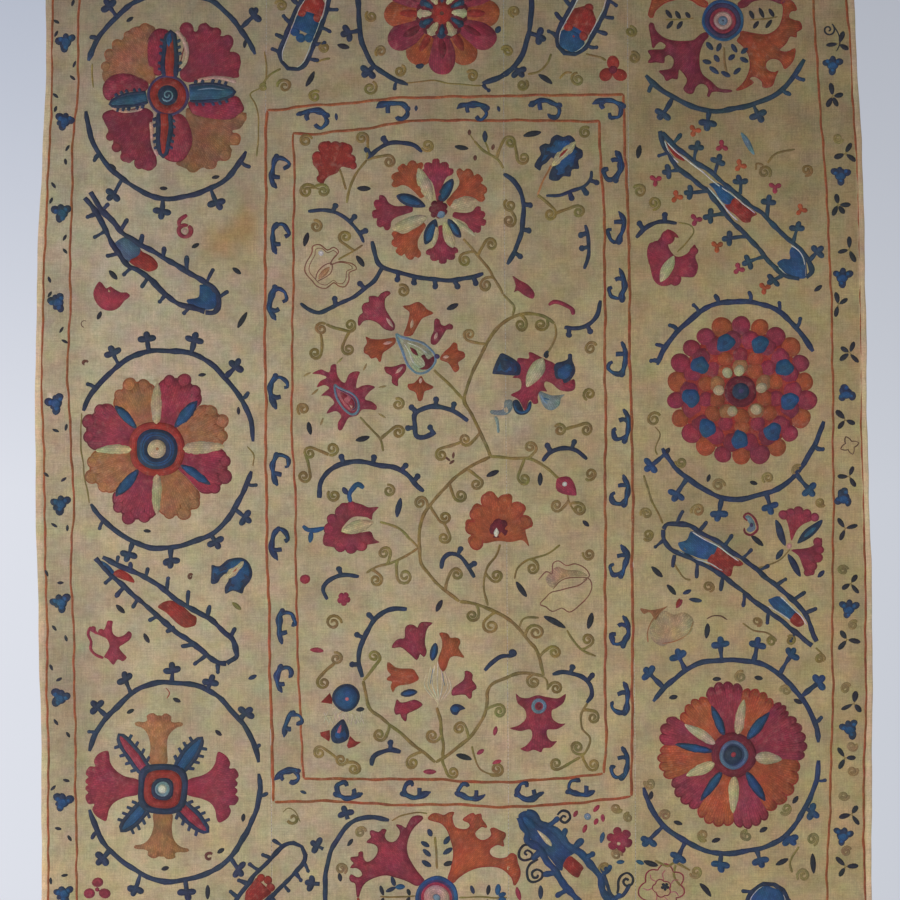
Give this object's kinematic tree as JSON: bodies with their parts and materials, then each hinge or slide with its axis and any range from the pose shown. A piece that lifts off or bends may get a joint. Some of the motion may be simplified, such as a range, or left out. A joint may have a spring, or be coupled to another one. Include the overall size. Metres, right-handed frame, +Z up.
{
  "type": "suzani embroidered hanging",
  "caption": "Large embroidered cotton hanging, joined from narrow loom lengths and hung flat by its top edge as a wall decoration.",
  "frame": {"origin": "middle of the top edge, on the back of the flat heading strip", "axes": "+Z up along the hanging cloth, -Y out of the embroidered front, +Y out of the back towards the wall, +X to the right as seen from the front"},
  "size_m": [1.4298, 0.0167, 1.966],
  "materials": {
    "embroidered_cotton": "matt hand-woven cotton, aged cream, with silk chain and couched stitching",
    "crimson_silk": "soft silk stitching",
    "orange_silk": "soft silk stitching",
    "blue_silk": "soft silk stitching",
    "olive_silk": "soft silk stitching",
    "cream_silk": "soft silk stitching"
  },
  "bodies": {
    "root": {"panel_left": "embroidered_cotton", "panel_centre_left": "embroidered_cotton", "panel_centre_right": "embroidered_cotton", "panel_right": "embroidered_cotton"}
  },
  "joints": []
}
